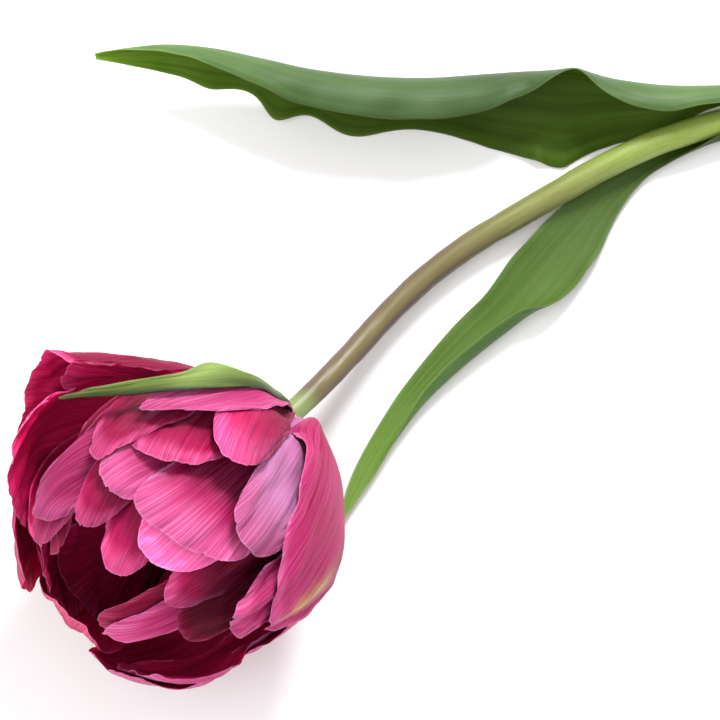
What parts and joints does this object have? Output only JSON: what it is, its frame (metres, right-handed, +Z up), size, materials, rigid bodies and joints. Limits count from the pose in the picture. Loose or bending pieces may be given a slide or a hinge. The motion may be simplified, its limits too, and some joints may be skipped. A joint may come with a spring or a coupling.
{
  "type": "cut tulip flower",
  "caption": "Cut double tulip laid down: a ball of separate frilled petals on a curved stalk, with a small bract and long clasping leaves.",
  "frame": {"origin": "middle of the whole flower's footprint, on the surface it lies on", "axes": "+Z up from the surface; +X along the flower's length, from the blossom towards the cut end of the stalk; +Y towards the longer leaf"},
  "size_m": [0.277, 0.1784, 0.0814],
  "materials": {
    "petal": "satin petal, deep pink to wine red",
    "leaf": "satin leaf with a pale waxy bloom",
    "stalk": "satin stalk, green to purplish brown",
    "heart": "matte yellow-green",
    "anther": "matte dark pollen"
  },
  "bodies": {
    "root": {"bract_leaf": "leaf", "outer_petal_top_band": "petal", "outer_petal_top_dome": "petal", "outer_petal_right": "petal", "outer_petal_flared": "petal", "outer_petal_under_left": "petal", "outer_petal_under_middle": "petal", "outer_petal_under_right": "petal", "outer_petal_low_left": "petal", "outer_petal_bottom": "petal", "outer_petal_left": "petal", "outer_petal_foot": "petal", "middle_petal_mauve": "petal", "middle_petal_back": "petal", "middle_petal_fold": "petal", "middle_petal_top": "petal", "middle_petal_cup": "petal", "middle_petal_bottom": "petal", "middle_petal_left": "petal", "middle_petal_centre": "petal", "middle_petal_centre_left": "petal", "middle_petal_point": "petal", "inner_petal_ragged": "petal", "inner_petal_strip": "petal", "inner_petal_low": "petal", "inner_petal_lip": "petal", "inner_petal_rim": "petal", "inner_petal_bright": "petal", "inner_petal_folded": "petal", "inner_petal_tongue": "petal", "inner_petal_narrow": "petal", "inner_petal_small_cup": "petal", "inner_petal_cup": "petal", "heart_petal_left": "petal", "heart_petal_right": "petal", "upper_leaf": "leaf", "lower_leaf": "leaf", "stem": "stalk", "receptacle": "stalk", "pistil": "heart", "stamen_1": "anther", "stamen_2": "anther", "stamen_3": "anther", "stamen_4": "anther", "stamen_5": "anther", "stamen_6": "anther"}
  },
  "joints": []
}
